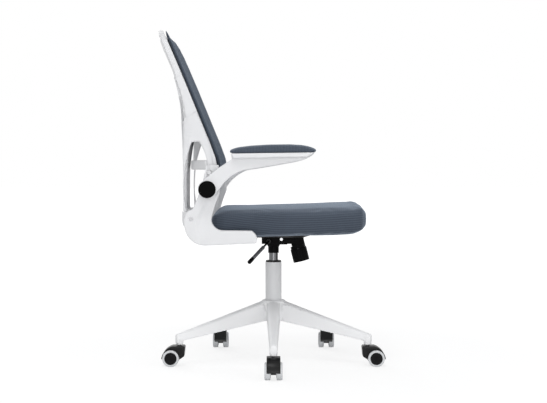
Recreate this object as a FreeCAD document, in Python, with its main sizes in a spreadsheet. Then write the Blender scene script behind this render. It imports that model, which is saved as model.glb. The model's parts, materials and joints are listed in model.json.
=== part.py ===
import os
import re

import FreeCAD
import Part
import Sketcher

# Office chair in millimetres: +Z up, +X to the sitter's front, the origin on the column's axis at floor level.
doc = FreeCAD.newDocument("OfficeChair")

leg_count = 5
flute_count = 16

driving_sizes = {
    # fits
    "running_fit": 0.05,
    "moving_gap": 0.5,
    "seating_gap": 0.3,
    # five-star base
    "base_radius": 298,
    "hub_radius": 37,
    "hub_bottom": 127,
    "hub_top": 190,
    "leg_bury": 8,
    "leg_root_width": 42,
    "leg_tip_width": 23,
    "leg_tip_top": 96,
    "leg_tip_bottom": 73,
    "leg_wall": 3.2,
    "leg_shoulder": 7,
    "rib_thickness": 2.4,
    "rib_recess": 5,
    "socket_radius": 12,
    "socket_bottom": 64,
    # castors
    "stem_radius": 5.5,
    "stem_length": 44,
    "stem_engagement": 24,
    "axle_radius": 3,
    "wheel_radius": 25,
    "castor_trail": 25,
    "castor_width": 51,
    "wheel_gap": 16,
    "tyre_depth": 6.5,
    "tyre_rounding": 3,
    "hub_dish": 2.5,
    "hood_width": 39,
    "hub_cap": 1.5,
    "hood_radius": 28.5,
    "hood_wall": 2.2,
    "hood_top": 62,
    "hood_nose": 17.5,
    # gas lift
    "tube_radius": 25,
    "tube_wall": 2,
    "tube_bottom": 130,
    "tube_floor": 4,
    "bush_length": 70,
    "collar_height": 5,
    "piston_radius": 14,
    "piston_wall": 3,
    "gland_length": 15,
    "piston_cap": 30,
    "rod_radius": 5,
    "rod_head_height": 12,
    "foot_bearing_radius": 12,
    "foot_bearing_height": 6,
    # tilt mechanism
    "boss_radius": 16.5,
    "taper_radius": 13.2,
    "pivot_x": 24,
    "pivot_height": 379,
    "pin_radius": 4.5,
    "carrier_rear": -24,
    "carrier_front": 42,
    "carrier_half_width": 30,
    "ear_thickness": 7,
    "fork_half_width": 11,
    "fork_slot": 10,
    "fork_root": 64,
    "fork_tip": 86,
    "fork_thickness": 5,
    "box_rear": -36,
    "box_front": 92,
    "box_half_width": 48,
    "box_wall": 3,
    "plate_thickness": 2.5,
    "spring_x": 74,
    "spring_lean": 14,
    "spring_tube_radius": 23,
    "spring_tube_wall": 3,
    "spring_tube_rise": 11,
    "spring_tube_drop": 11,
    "spring_radius": 16.5,
    "spring_wire": 4,
    "spring_reach": 2.4,
    "bolt_radius": 3.5,
    "knob_radius": 25,
    "knob_drop": 11.6,
    "knob_height": 40,
    "knob_wall": 5,
    "knob_floor": 6,
    "flute_radius": 2.2,
    # lever
    "lever_x": -15,
    "lever_bush_radius": 6.5,
    "lever_bush_start": 32,
    "lever_bush_end": 62,
    "lever_slot_depth": 12,
    "lever_pivot": 56.5,
    "lever_pin_radius": 1.5,
    "lever_rod_radius": 3,
    "lever_bend": 66,
    "lever_end_x": -71,
    "lever_end_y": -180,
    "lever_grip_radius": 5.4,
    "grip_start_share": 0.28,
    "grip_end_share": 0.84,
    # seat
    "seat_rear": -190,
    "seat_front": 274,
    "seat_rear_half_width": 221,
    "seat_front_half_width": 245,
    "seat_pitch": 2.3,
    "seat_top_pitch": 3,
    "seat_crown": 9,
    "seat_draw": 12,
    "pan_inset": 55,
    "pan_corner": 40,
    "pan_floor_front": 95,
    "pan_flare": 45,
    "pan_floor_half_width": 136,
    "seat_bolt_radius": 3.5,
    "bolt_bite": 5,
    "bolt_head_height": 4,
    "bolt_centre_x": 16,
    "bolt_spread_x": 40,
    "bolt_spread_y": 38,
    # side brackets
    "bracket_inner": 227,
    "bracket_thickness": 30,
    "foot_inner": 105,
    "foot_thickness": 6,
    "screw_radius": 3,
    "screw_head_radius": 6,
    "screw_head_depth": 5,
    # back
    "back_half_width": 225,
    "lumbar_blend": 25,
    "upper_lean": 0.415,
    "lower_lean": 0.22,
    "panel_depth": 9.5,
    "panel_hollow": 18.5,
    "frame_hollow": 18,
    "frame_depth": 20,
    "ring_width": 52,
    "ring_corner": 70,
    "fin_inner": 213,
    "fin_set_back": 5,
    "rail_width": 8,
    "spine_depth": 13,
    "spine_half_width": 62,
    "spine_reach": 208,
    "beam_depth": 22,
    "lumbar_bar_depth": 10,
    "lumbar_bow": 54,
    "lumbar_bar_height": 28,
    # arms
    "arm_pin_radius": 8,
    "arm_boss_radius": 27,
    "arm_thickness": 27,
    "arm_centre": 272,
    "arm_tray_half": 32,
    "arm_pad_half": 37,
    "arm_pad_height": 23,
    "pivot_cap_radius": 24.5,
    "pivot_cap_height": 6,
}

# Heights above the tilt pivot's axis
mechanism_heights = {
    "piston_bottom": -179,
    "tube_top": -72,
    "rod_top": -67,
    "boss_bottom": -44,
    "piston_top": -11,
    "carrier_bottom": -17,
    "carrier_top": -7,
    "fork_slot_bottom": -27,
    "box_bottom": -14,
    "spring_height": -19,
    "lever_height": -6,
    "lever_end_height": -59,
    "plate_bottom": 8,
}

# Heights above the underside of the seat plate
seat_heights = {
    "seat_base_height": 14,
    "seat_edge_height": 84.5,
    "bracket_floor": -7,
    "elbow_top": 30,
    "lower_screw_height": 63,
    "beam_bottom": 38,
    "beam_top": 83,
    "back_bottom": 87,
    "arm_pivot_height": 148,
    "rail_foot": 173,
    "panel_bottom": 178,
    "lumbar_bar_bottom": 204,
    "ring_opening_bottom": 213,
    "lumbar_height": 218,
    "fin_apex_height": 285,
    "spine_fork_height": 330,
    "fin_top": 373,
    "spine_top": 475,
    "ring_opening_top": 558,
    "back_top": 615,
}

# Heights above the arms' pivot
arm_heights = {
    "upper_screw_height": 48,
    "bracket_head_top": 70,
    "arm_top": 105,
}

# Distances ahead of the seat's rear edge
rear_lengths = {
    "spine_rear": -84,
    "fin_rear_x": -69,
    "bracket_rear": -65,
    "lower_screw_x": -46,
    "fin_apex_x": -24,
    "lumbar_bar_end": -8,
    "bracket_head_rear": -2,
    "arm_pivot_x": 2,
    "upper_screw_x": 6,
    "bracket_head_front": 33,
    "pan_floor_rear": 40,
    "foot_rear": 40,
    "lumbar_x": 37.5,
    "arm_pad_rear": 66,
    "foot_front": 124,
    "seat_waist": 135,
    "bracket_tip": 144,
    "arm_pad_front": 311,
}


class Sizes:
    """The driving dimensions as cells of a sheet, each counted from a datum, and formulas written with their names."""

    def __init__(self, *groups):
        self.sheet = doc.addObject("Spreadsheet::Sheet", "Sizes")
        row = 0
        for datum, values in groups:
            for name, value in values.items():
                row += 1
                self.sheet.set("A%d" % row, name)
                self.sheet.set("B%d" % row, str(value))
                self.sheet.set("C%d" % row, "=%s + B%d" % (datum, row))
                self.sheet.setAlias("C%d" % row, name)
        doc.recompute()

    def formula(self, text):
        return re.sub(r"[a-z]+(?:_[a-z]+)+", lambda word: "Sizes." + word.group(), str(text))

    def value(self, text):
        return float(self.sheet.evalExpression(self.formula(text)))


sizes = Sizes(
    ("0", driving_sizes), ("pivot_height", mechanism_heights), ("plate_bottom", seat_heights),
    ("arm_pivot_height", arm_heights), ("seat_rear", rear_lengths),
)
nodes = []


def bind(thing, **formulas):
    """Ties properties to formulas; two underscores stand for the dot of a nested property."""
    for name, text in formulas.items():
        thing.setExpression(name.replace("__", "."), sizes.formula(text))


def settle(thing, label, x="0", y="0", z="0", turn="0"):
    """Names a finished sub-part and puts it in its place, turned about the vertical."""
    thing.Label = label
    bind(thing, Placement__Base__x=x, Placement__Base__y=y, Placement__Base__z=z)
    thing.Placement.Rotation = FreeCAD.Rotation(FreeCAD.Vector(0, 0, 1), sizes.value(turn))
    nodes.append(thing)
    return thing


def new_body(label, **place):
    return settle(doc.addObject("PartDesign::Body", label), label, **place)


def origin_feature(body, role):
    return next(feature for feature in body.Origin.OriginFeatures if feature.Role == role)


def sketch_on(body, role, lift="0", pitch=None, at=None):
    """A sketch on an origin plane, lifted along its normal; pitch leans it about its own Y axis at a point."""
    sketch = body.newObject("Sketcher::SketchObject", "Sketch")
    sketch.AttachmentSupport = (origin_feature(body, role), [""])
    sketch.MapMode = "FlatFace"
    if pitch is not None:
        lean = FreeCAD.Rotation(FreeCAD.Vector(0, 1, 0), sizes.value(pitch))
        sketch.AttachmentOffset = FreeCAD.Placement(FreeCAD.Vector(), lean)
    if at is not None:
        bind(sketch, AttachmentOffset__Base__x=at)
    bind(sketch, AttachmentOffset__Base__z=lift)
    return sketch


def pin_point(sketch, geometry, position, x, y):
    """Ties a point of a sketch to two formulas measured from the sketch's origin."""
    for kind, text in (("DistanceX", x), ("DistanceY", y)):
        index = sketch.addConstraint(Sketcher.Constraint(kind, -1, 1, geometry, position, sizes.value(text)))
        sketch.setExpression("Constraints[%d]" % index, sizes.formula(text))


def outline(sketch, start, *steps):
    """A closed outline. A step (x, y) is a line to that point, (x, y, via_x, via_y) an arc through a second one."""
    if tuple(steps[-1][:2]) != tuple(start):
        steps = steps + (start,)
    corner = start
    ends = []
    for step in steps:
        here = FreeCAD.Vector(sizes.value(corner[0]), sizes.value(corner[1]), 0)
        there = FreeCAD.Vector(sizes.value(step[0]), sizes.value(step[1]), 0)
        if len(step) == 2:
            edge = sketch.addGeometry(Part.LineSegment(here, there))
            first, last = 1, 2
        else:
            middle = FreeCAD.Vector(sizes.value(step[2]), sizes.value(step[3]), 0)
            edge = sketch.addGeometry(Part.Arc(here, middle, there))
            leftward = (middle - here).cross(there - middle).z > 0
            first, last = (1, 2) if leftward else (2, 1)
            mark = sketch.addGeometry(Part.Point(middle), True)
            pin_point(sketch, mark, 1, step[2], step[3])
            sketch.addConstraint(Sketcher.Constraint("PointOnObject", mark, 1, edge))
        pin_point(sketch, edge, first, corner[0], corner[1])
        ends.append((edge, first, last))
        corner = step
    for (edge, first, last), (following, start_of, end_of) in zip(ends, ends[1:] + ends[:1]):
        sketch.addConstraint(Sketcher.Constraint("Coincident", edge, last, following, start_of))
    return sketch


def disc(sketch, x, y, radius):
    centre = FreeCAD.Vector(sizes.value(x), sizes.value(y), 0)
    circle = sketch.addGeometry(Part.Circle(centre, FreeCAD.Vector(0, 0, 1), sizes.value(radius)))
    pin_point(sketch, circle, 3, x, y)
    index = sketch.addConstraint(Sketcher.Constraint("Radius", circle, sizes.value(radius)))
    sketch.setExpression("Constraints[%d]" % index, sizes.formula(radius))
    return sketch


def extrude(body, kind, sketch, length, both_ways=False, backwards=False):
    """Pads or pockets a sketch; both_ways spreads the length evenly to the two sides of its plane."""
    feature = body.newObject("PartDesign::" + kind, kind)
    feature.Profile = sketch
    feature.Midplane = both_ways
    feature.Reversed = backwards
    bind(feature, Length=length)
    return feature


def pad(body, sketch, length, **options):
    return extrude(body, "Pad", sketch, length, **options)


def pocket(body, sketch, length, **options):
    return extrude(body, "Pocket", sketch, length, **options)


def revolve(body, sketch, axis="V_Axis", kind="Revolution"):
    feature = body.newObject("PartDesign::" + kind, kind)
    feature.Profile = sketch
    feature.ReferenceAxis = (sketch, [axis])
    feature.Angle = 360
    return feature


def loft(body, sections, ruled=False, kind="AdditiveLoft"):
    feature = body.newObject("PartDesign::" + kind, kind)
    feature.Profile = sections[0]
    feature.Sections = sections[1:]
    feature.Ruled = ruled
    return feature


def turned(label, *profile, **place):
    """A body turned about its own vertical axis from a profile of radius and height."""
    body = new_body(label, **place)
    revolve(body, outline(sketch_on(body, "XZ_Plane"), *profile))
    return body


# Five-star base: one hollow ribbed leg towards -Y with its stem socket, repeated round the hub
def leg_section(body, lift, width, top, bottom, inset="0"):
    half = "(%s) / 2 - %s" % (width, inset)
    shoulder = "%s - leg_shoulder - %s" % (top, inset)
    return outline(
        sketch_on(body, "XZ_Plane", lift=lift),
        ("-(%s)" % half, bottom),
        (half, bottom),
        ("0.86 * (%s)" % half, shoulder),
        ("-0.86 * (%s)" % half, shoulder, "0", "%s - %s" % (top, inset)),
    )


leg_end = "(base_radius + socket_radius - 1)"


def leg_measure(root, tip, distance):
    """A size of the leg at a distance from the column's axis, between its values at the root and at the tip."""
    share = "((%s - hub_radius + leg_bury) / (%s - hub_radius + leg_bury))" % (distance, leg_end)
    return "(%s + (%s - %s) * %s)" % (root, tip, root, share)


def leg_slice(body, distance, bottom_shift, inset):
    return leg_section(
        body, distance,
        leg_measure("leg_root_width", "leg_tip_width", distance),
        leg_measure("hub_top", "leg_tip_top", distance),
        leg_measure("hub_bottom", "leg_tip_bottom", distance) + bottom_shift, inset,
    )


def base_star():
    body = new_body("base_star")
    leg = loft(body, [
        leg_slice(body, distance, "", "0") for distance in ("hub_radius - leg_bury", leg_end)
    ], ruled=True)
    hollow = loft(body, [
        leg_slice(body, distance, " - leg_wall", "leg_wall")
        for distance in ("hub_radius + leg_wall", "base_radius - socket_radius - leg_wall")
    ], ruled=True, kind="SubtractiveLoft")
    ribs = [
        pad(body, leg_slice(body, "hub_radius + %s * (base_radius - hub_radius)" % share, " + rib_recess",
                            "leg_wall / 2"), "rib_thickness")
        for share in (0.25, 0.45, 0.65)
    ]
    socket = pad(
        body, disc(sketch_on(body, "XY_Plane", lift="socket_bottom"), "0", "-base_radius", "socket_radius"),
        "leg_tip_top - leg_shoulder - socket_bottom",
    )
    bore = pocket(
        body, disc(sketch_on(body, "XY_Plane", lift="socket_bottom"), "0", "-base_radius", "stem_radius + running_fit"),
        "stem_engagement", backwards=True,
    )
    star = body.newObject("PartDesign::PolarPattern", "Legs")
    star.Originals = [leg, hollow] + ribs + [socket, bore]
    star.Axis = (origin_feature(body, "Z_Axis"), [""])
    star.Angle = 360
    star.Occurrences = leg_count
    body.Tip = star
    revolve(body, outline(
        sketch_on(body, "XZ_Plane"),
        ("tube_radius", "hub_bottom"), ("hub_radius", "hub_bottom"),
        ("hub_radius", "hub_top - leg_bury"),
        ("hub_radius - 6", "hub_top + 1", "hub_radius - 1", "hub_top - 2"),
        ("tube_radius", "hub_top + 1"),
    ))
    return body


# Castors: the stem's axis is the local origin and the axle trails behind it along local +X
def primitive(kind, name, **formulas):
    shape = doc.addObject("Part::" + kind, name)
    bind(shape, **formulas)
    return shape


def along(shape, axis, x="0", y="0", z="0"):
    """Lays a primitive's own Z axis along a direction, from a point given by formulas."""
    bind(shape, Placement__Base__x=x, Placement__Base__y=y, Placement__Base__z=z)
    shape.Placement.Rotation = FreeCAD.Rotation(FreeCAD.Vector(0, 0, 1), FreeCAD.Vector(*axis))
    return shape


def joined(kind, label, pieces, **place):
    """A boolean or compound of primitives as one sub-part."""
    whole = doc.addObject("Part::" + kind, label)
    setattr(whole, "Links" if kind == "Compound" else "Shapes", pieces)
    return settle(whole, label, **place)


def hood_point(radius, degrees):
    return (
        "castor_trail + (%s) * cos(%s)" % (radius, degrees),
        "wheel_radius + (%s) * sin(%s)" % (radius, degrees),
    )


def castor_hood(label, **place):
    """A hood over both wheels, flat on top round the stem, with a web between the wheels that holds the axle."""
    body = new_body(label, **place)
    hood_inner = "hood_radius - hood_wall"
    canopy = outline(
        sketch_on(body, "XZ_Plane"),
        ("castor_trail + hood_radius", "wheel_radius - 2"),
        ("castor_trail - 5", "hood_top", "castor_trail + 0.72 * hood_radius", "wheel_radius + 0.66 * hood_radius"),
        ("4 - hood_nose", "hood_top"),
        ("-hood_nose", "hood_top - 5", "1.3 - hood_nose", "hood_top - 1.5"),
        ("2.5 - hood_nose", "wheel_radius + 6"),
        hood_point(hood_inner, 187),
        hood_point(hood_inner, -4) + hood_point(hood_inner, 90),
    )
    pad(body, canopy, "hood_width", both_ways=True)
    web = outline(
        sketch_on(body, "XZ_Plane"),
        hood_point(hood_inner + " + 1", 35),
        hood_point(hood_inner + " + 1", 172) + hood_point(hood_inner + " + 1", 100),
        ("castor_trail - 11", "wheel_radius - 8"),
        ("castor_trail + 9", "wheel_radius - 5", "castor_trail", "wheel_radius - 11"),
    )
    pad(body, web, "wheel_gap - 2 * moving_gap", both_ways=True)
    pocket(body, disc(sketch_on(body, "XY_Plane", lift="hood_top"), "0", "0", "stem_radius"),
           "stem_length - stem_engagement - (socket_bottom - hood_top)")
    pocket(body, disc(sketch_on(body, "XZ_Plane"), "castor_trail", "wheel_radius", "axle_radius"),
           "wheel_gap", both_ways=True)
    return body


def castor(number, spoke, trail):
    """One castor under the leg at the angle spoke, trailing towards the angle trail."""
    place = {"x": "base_radius * cos(%s)" % spoke, "y": "base_radius * sin(%s)" % spoke, "turn": trail}
    castor_hood("castor_hood_%d" % number, **place)
    stem = primitive("Cylinder", "Stem", Radius="stem_radius", Height="stem_length")
    along(stem, (0, 0, 1), z="socket_bottom + stem_engagement - stem_length")
    axle_half = "(castor_width / 2 - 1 - hub_dish - hub_cap - moving_gap)"
    axle = primitive("Cylinder", "Axle", Radius="axle_radius", Height="2 * " + axle_half)
    along(axle, (0, -1, 0), x="castor_trail", y=axle_half, z="wheel_radius")
    joined("Compound", "castor_pins_%d" % number, [stem, axle], **place)
    for side, sign in (("a", -1), ("b", 1)):
        inner = "%d * wheel_gap / 2" % sign
        outer = "%d * castor_width / 2" % sign
        rim = "wheel_radius - tyre_depth"
        hub = new_body("castor_hub_%d%s" % (number, side), **place)
        bore = "axle_radius + running_fit"
        profile = outline(
            sketch_on(hub, "XY_Plane", lift="wheel_radius", at="castor_trail"),
            (bore, inner), (rim, inner), (rim, "%s - %d" % (outer, sign)),
            ("%s - 2" % rim, "%s - %d" % (outer, sign)),
            ("0", "%s - %d * (1 + hub_dish)" % (outer, sign)),
            ("0", "%s - %d * (1 + hub_dish + hub_cap)" % (outer, sign)),
            (bore, "%s - %d * (1 + hub_dish + hub_cap)" % (outer, sign)),
        )
        revolve(hub, profile)
        tyre = new_body("castor_tyre_%d%s" % (number, side), **place)
        soft = "tyre_rounding"
        profile = outline(
            sketch_on(tyre, "XY_Plane", lift="wheel_radius", at="castor_trail"),
            (rim, "%s + %d * 0.5" % (inner, sign)),
            ("wheel_radius - %s" % soft, "%s + %d * 0.5" % (inner, sign)),
            ("wheel_radius", "%s + %d * (0.5 + %s)" % (inner, sign, soft),
             "wheel_radius - 0.29 * %s" % soft, "%s + %d * (0.5 + 0.29 * %s)" % (inner, sign, soft)),
            ("wheel_radius", "%s - %d * %s" % (outer, sign, soft)),
            ("wheel_radius - %s" % soft, outer,
             "wheel_radius - 0.29 * %s" % soft, "%s - %d * 0.29 * %s" % (outer, sign, soft)),
            (rim, outer),
        )
        revolve(tyre, profile)


# Gas lift: tube in the hub, guide bush with its collar, inner cylinder, and the rod that stands on the tube's floor
def gas_lift():
    inner = "tube_radius - tube_wall"
    turned(
        "column_tube",
        ("rod_radius + running_fit", "tube_bottom"), ("tube_radius", "tube_bottom"), ("tube_radius", "tube_top"),
        (inner, "tube_top"), (inner, "tube_bottom + tube_floor"),
        ("rod_radius + running_fit", "tube_bottom + tube_floor"),
    )
    guide = "piston_radius + running_fit"
    turned(
        "column_bush",
        (guide, "tube_top - bush_length"), (inner, "tube_top - bush_length"), (inner, "tube_top"),
        ("tube_radius - 1", "tube_top"), ("tube_radius - 1", "tube_top + collar_height - 1.5"),
        ("tube_radius - 2.5", "tube_top + collar_height"), (guide, "tube_top + collar_height"),
    )
    hollow = "piston_radius - piston_wall"
    gland = "piston_bottom + gland_length"
    turned(
        "column_piston",
        ("rod_radius + running_fit", "piston_bottom"), ("piston_radius", "piston_bottom"),
        ("piston_radius", "boss_bottom"), ("taper_radius", "piston_top"),
        ("0", "piston_top"), ("0", "piston_top - piston_cap"), (hollow, "piston_top - piston_cap"),
        (hollow, gland), ("rod_radius + running_fit", gland),
    )
    clip = "tube_bottom - seating_gap"
    bearing = "tube_bottom + tube_floor + seating_gap"
    turned(
        "column_rod",
        ("0", "%s - 3" % clip), ("rod_radius + 3", "%s - 3" % clip), ("rod_radius + 3", clip),
        ("rod_radius", clip), ("rod_radius", bearing), ("foot_bearing_radius", bearing),
        ("foot_bearing_radius", "%s + foot_bearing_height" % bearing),
        ("rod_radius", "%s + foot_bearing_height" % bearing), ("rod_radius", "rod_top - rod_head_height"),
        ("%s - moving_gap" % hollow, "rod_top - rod_head_height"), ("%s - moving_gap" % hollow, "rod_top"),
        ("0", "rod_top"),
    )


# Tilt mechanism: the carrier stands on the inner cylinder, and the box with its spring tube turns on the pivot pin
def spring_sketch(body, distance):
    """A sketch square to the spring's leaning axis, at a distance along it from where the axis is given."""
    sketch = sketch_on(body, "XY_Plane", pitch="-spring_lean")
    bind(
        sketch,
        AttachmentOffset__Base__x="spring_x - (%s) * sin(spring_lean)" % distance,
        AttachmentOffset__Base__z="spring_height + (%s) * cos(spring_lean)" % distance,
    )
    return sketch


def tilt_carrier():
    body = new_body("tilt_carrier")
    revolve(body, outline(
        sketch_on(body, "XZ_Plane"),
        ("piston_radius", "boss_bottom"), ("boss_radius", "boss_bottom"), ("boss_radius", "carrier_bottom - 9"),
        ("boss_radius + 6", "carrier_bottom + 2"), ("boss_radius + 6", "carrier_top"),
        ("taper_radius", "carrier_top"), ("taper_radius", "piston_top"),
    ))
    block = sketch_on(body, "XY_Plane", lift="carrier_bottom")
    outline(
        block,
        ("carrier_rear", "-carrier_half_width"), ("carrier_front", "-carrier_half_width"),
        ("carrier_front", "carrier_half_width"), ("carrier_rear", "carrier_half_width"),
    )
    disc(block, "0", "0", "boss_radius")
    pad(body, block, "carrier_top - carrier_bottom")
    fork = outline(
        sketch_on(body, "XY_Plane", lift="carrier_top"),
        ("carrier_front - 1", "-fork_half_width"), ("fork_tip", "-fork_half_width"),
        ("fork_tip", "-fork_slot / 2"), ("fork_root", "-fork_slot / 2"), ("fork_root", "fork_slot / 2"),
        ("fork_tip", "fork_slot / 2"), ("fork_tip", "fork_half_width"), ("carrier_front - 1", "fork_half_width"),
    )
    pad(body, fork, "fork_thickness", backwards=True)
    ear_reach = "plate_bottom - pivot_height - moving_gap"
    for lift in ("carrier_half_width - ear_thickness", "-carrier_half_width"):
        ear = outline(
            sketch_on(body, "XZ_Plane", lift=lift),
            ("pivot_x - 14", "carrier_top - 1"), ("pivot_x + 14", "carrier_top - 1"),
            ("pivot_x + (%s)" % ear_reach, "pivot_height"),
            ("pivot_x - (%s)" % ear_reach, "pivot_height", "pivot_x", "pivot_height + %s" % ear_reach),
        )
        pad(body, ear, "ear_thickness")
    pocket(body, disc(sketch_on(body, "XZ_Plane"), "pivot_x", "pivot_height", "pin_radius + running_fit"),
           "2 * box_half_width", both_ways=True)
    return body


def box_wall_outline(sketch, inset):
    return outline(
        sketch,
        ("box_rear + %s" % inset, "-box_half_width + %s" % inset),
        ("box_front - %s" % inset, "-box_half_width + %s" % inset),
        ("box_front - %s" % inset, "box_half_width - %s" % inset),
        ("box_rear + %s" % inset, "box_half_width - %s" % inset),
    )


def tilt_box():
    body = new_body("tilt_box")
    plate_top = "plate_bottom + plate_thickness"
    pad(body, box_wall_outline(sketch_on(body, "XY_Plane", lift="box_bottom"), "0"), "%s - box_bottom" % plate_top)
    pocket(body, box_wall_outline(sketch_on(body, "XY_Plane", lift="box_bottom"), "box_wall"),
           "plate_bottom - box_bottom", backwards=True)
    holes = sketch_on(body, "XY_Plane", lift="plate_bottom")
    for x, y in box_bolt_places:
        disc(holes, x, y, "seat_bolt_radius")
    pocket(body, holes, "plate_thickness", backwards=True)
    shelf_rear = "spring_x - spring_tube_radius - 6"
    shelf = outline(
        sketch_on(body, "XY_Plane", lift="box_bottom"),
        (shelf_rear, "-box_half_width + 1"), ("box_front - 1", "-box_half_width + 1"),
        ("box_front - 1", "box_half_width - 1"), (shelf_rear, "box_half_width - 1"),
    )
    pad(body, shelf, "plate_thickness")
    pad(body, disc(spring_sketch(body, "-spring_tube_drop"), "0", "0", "spring_tube_radius"),
               "spring_tube_drop + spring_tube_rise")
    bore = disc(spring_sketch(body, "-spring_tube_drop"), "0", "0", "spring_tube_radius - spring_tube_wall")
    pocket(body, bore, "spring_tube_drop + spring_tube_rise", backwards=True)
    slot_half = "fork_half_width + 3"
    slot = outline(
        sketch_on(body, "XY_Plane", lift="fork_slot_bottom"),
        ("%s - 1" % shelf_rear, "-(%s)" % slot_half), ("spring_x", "-(%s)" % slot_half),
        ("spring_x", slot_half), ("%s - 1" % shelf_rear, slot_half),
    )
    pocket(body, slot, "plate_bottom - fork_slot_bottom", backwards=True)
    pocket(body, disc(sketch_on(body, "XZ_Plane"), "pivot_x", "pivot_height", "pin_radius"),
           "3 * box_half_width", both_ways=True)
    pocket(body, disc(sketch_on(body, "XZ_Plane"), "lever_x", "lever_height", "lever_bush_radius + running_fit"),
           "2 * box_half_width", backwards=True)
    return body


def tilt_details():
    pin = primitive("Cylinder", "tilt_pin", Radius="pin_radius", Height="2 * box_half_width + 4")
    along(pin, (0, -1, 0), x="pivot_x", y="box_half_width + 2", z="pivot_height")
    nodes.append(pin)
    spring = new_body("tension_spring")
    coil = spring_sketch(spring, "-knob_drop - knob_height + knob_floor + seating_gap")
    disc(coil, "0", "0", "spring_radius")
    disc(coil, "0", "0", "spring_radius - spring_wire")
    pad(spring, coil, "knob_drop + knob_height - knob_floor + spring_reach")
    bolt = new_body("tension_bolt")
    shank = disc(spring_sketch(bolt, "-knob_drop - knob_height + 2"), "0", "0", "bolt_radius")
    pad(bolt, shank, "knob_drop + knob_height + (plate_bottom - spring_height) / cos(spring_lean) + bolt_radius")
    trim = disc(sketch_on(bolt, "XY_Plane", lift="plate_bottom"), "spring_x", "0", "spring_tube_radius")
    pocket(bolt, trim, "spring_tube_radius", backwards=True)
    knob = new_body("tension_knob")
    knob_foot = "-knob_drop - knob_height"
    pad(knob, disc(spring_sketch(knob, knob_foot), "0", "0", "knob_radius"), "knob_height")
    grip = disc(spring_sketch(knob, knob_foot), "knob_radius + flute_radius / 2", "0", "flute_radius")
    flute = pocket(knob, grip, "knob_height - knob_floor", backwards=True)
    flutes = knob.newObject("PartDesign::PolarPattern", "Flutes")
    flutes.Originals = [flute]
    flutes.Axis = (grip, ["N_Axis"])
    flutes.Angle = 360
    flutes.Occurrences = flute_count
    knob.Tip = flutes
    hollow = disc(spring_sketch(knob, "-knob_drop"), "0", "0", "knob_radius - knob_wall")
    pocket(knob, hollow, "knob_height - knob_floor")
    pocket(knob, disc(spring_sketch(knob, "-knob_drop"), "0", "0", "bolt_radius + running_fit"), "knob_height - 2")


# Lever: a sleeve slides in the box's side wall, and the bent rod rocks on a cross pin in the sleeve's slot
def lever():
    bush = new_body("lever_bush")
    pad(bush, disc(sketch_on(bush, "XZ_Plane", lift="lever_bush_start"), "lever_x", "lever_height",
                   "lever_bush_radius"), "lever_bush_end - lever_bush_start")
    gap = "lever_rod_radius + seating_gap"
    slot = outline(
        sketch_on(bush, "XZ_Plane", lift="lever_bush_end"),
        ("lever_x - (%s)" % gap, "lever_height - 10"), ("lever_x + (%s)" % gap, "lever_height - 10"),
        ("lever_x + (%s)" % gap, "lever_height + 10"), ("lever_x - (%s)" % gap, "lever_height + 10"),
    )
    pocket(bush, slot, "lever_slot_depth")
    pivot = disc(sketch_on(bush, "YZ_Plane", lift="lever_x"), "-lever_pivot", "lever_height", "lever_pin_radius")
    pad(bush, pivot, "2 * lever_bush_radius - 3", both_ways=True)

    bend = FreeCAD.Vector(sizes.value("lever_x"), -sizes.value("lever_bend"), sizes.value("lever_height"))
    end = FreeCAD.Vector(*(sizes.value("lever_end_" + axis) for axis in ("x", "y", "height")))
    reach = tuple(end - bend)
    length = "sqrt((lever_end_x - lever_x) ^ 2 + (lever_end_y + lever_bend) ^ 2 + (lever_end_height - lever_height) ^ 2)"
    foot = {"x": "lever_x", "y": "-lever_bend", "z": "lever_height"}

    def at_share(share):
        ends = {"x": "lever_end_x", "y": "lever_end_y", "z": "lever_end_height"}
        return {key: "(%s) + (%s - (%s)) * %s" % (foot[key], ends[key], foot[key], share) for key in foot}

    stub = primitive("Cylinder", "LeverStub", Radius="lever_rod_radius", Height="lever_bend - lever_pivot + 4")
    along(stub, (0, -1, 0), x="lever_x", y="-lever_pivot + 4", z="lever_height")
    elbow = primitive("Sphere", "LeverElbow", Radius="lever_rod_radius")
    along(elbow, (0, 0, 1), **foot)
    shaft = primitive("Cylinder", "LeverShaft", Radius="lever_rod_radius", Height="%s * (1 + grip_end_share) / 2" % length)
    along(shaft, reach, **foot)
    tip = primitive("Cylinder", "LeverTip", Radius="lever_grip_radius + 0.5", Height="%s * (1 - grip_end_share)" % length)
    along(tip, reach, **at_share("grip_end_share"))
    whole = doc.addObject("Part::MultiFuse", "LeverWhole")
    whole.Shapes = [stub, elbow, shaft, tip]
    hole = primitive("Cylinder", "LeverHole", Radius="lever_pin_radius + running_fit", Height="20")
    along(hole, (1, 0, 0), x="lever_x - 10", y="-lever_pivot", z="lever_height")
    rod = doc.addObject("Part::Cut", "lever_rod")
    rod.Base = whole
    rod.Tool = hole
    settle(rod, "lever_rod")
    sleeve = primitive("Cylinder", "GripSleeve", Radius="lever_grip_radius",
                       Height="%s * (grip_end_share - grip_start_share)" % length)
    along(sleeve, reach, **at_share("grip_start_share"))
    core = primitive("Cylinder", "GripCore", Radius="lever_rod_radius", Height=length)
    along(core, reach, **foot)
    grip = doc.addObject("Part::Cut", "lever_grip")
    grip.Base = sleeve
    grip.Tool = core
    settle(grip, "lever_grip")


# Bolts of the seat: four through the box's plate and two through each bracket's foot
box_bolt_places = [
    ("bolt_centre_x + %d * bolt_spread_x" % fore, "%d * bolt_spread_y" % side)
    for fore in (-1, 1) for side in (-1, 1)
]
foot_bolt_places = [
    (x, "%d * (foot_inner + 14)" % side)
    for x in ("foot_rear + 26", "foot_front - 26") for side in (-1, 1)
]


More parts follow.
